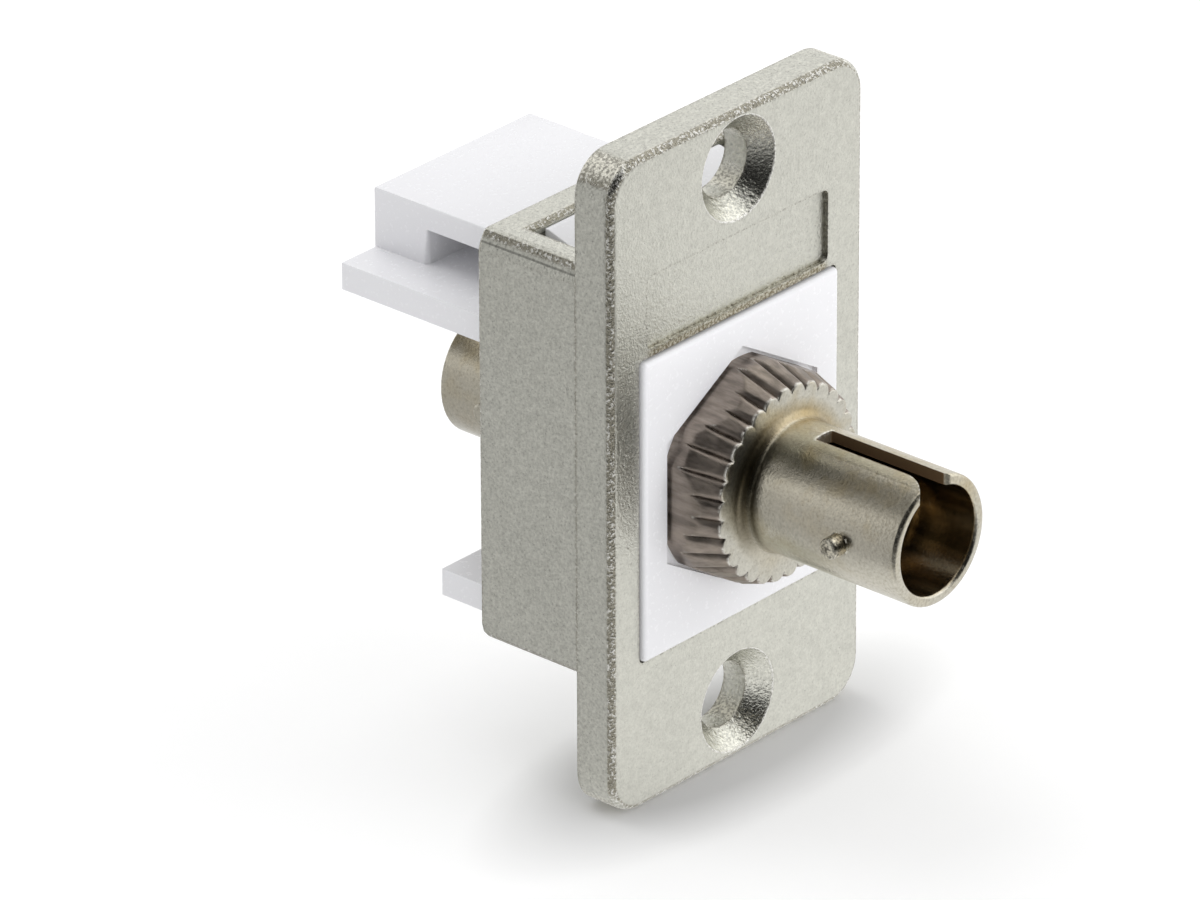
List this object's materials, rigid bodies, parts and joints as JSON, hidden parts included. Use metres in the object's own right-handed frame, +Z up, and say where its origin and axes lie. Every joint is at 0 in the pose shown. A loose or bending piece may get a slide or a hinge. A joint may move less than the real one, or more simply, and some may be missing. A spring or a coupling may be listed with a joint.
{
  "type": "st fibre adapter",
  "caption": "Die-cast rectangular bracket with countersunk screw holes, holding a white latched keystone insert with an ST bayonet fibre coupler on a knurled hexagonal flange.",
  "frame": {"origin": "midway between the two screw holes, on the back face of the plate, which seats on the panel", "axes": "+Z up along the plate, -Y out of the front socket, +X to the right seen from the front"},
  "size_m": [0.0188, 0.0314, 0.0352],
  "materials": {
    "cast_nickel": "fine-grained satin nickel on a zinc casting",
    "white_plastic": "glossy moulded plastic",
    "plated_metal": "bright, slightly warm nickel plating",
    "plated_steel": "zinc-plated spring steel",
    "white_ceramic": "polished zirconia",
    "holder_metal": "nickel-plated brass"
  },
  "bodies": {
    "adapter": {"mounting_frame": "cast_nickel", "keystone_housing": "white_plastic", "adapter_body_front": "plated_metal", "adapter_body_rear": "plated_metal", "lock_washer": "plated_steel", "hex_nut": "plated_metal", "split_sleeve": "white_ceramic", "front_sleeve_holder": "holder_metal", "rear_sleeve_holder": "holder_metal"},
    "latch": {"latch_lever": "white_plastic"}
  },
  "joints": [
    {"name": "latch_press", "type": "hinge", "parent": "adapter", "child": "latch", "pos_m": [0, 0.01278, 0.0086], "axis": [1, 0, 0], "range_deg": [0, 8], "stiffness_Nm_per_rad": 0.5}
  ]
}
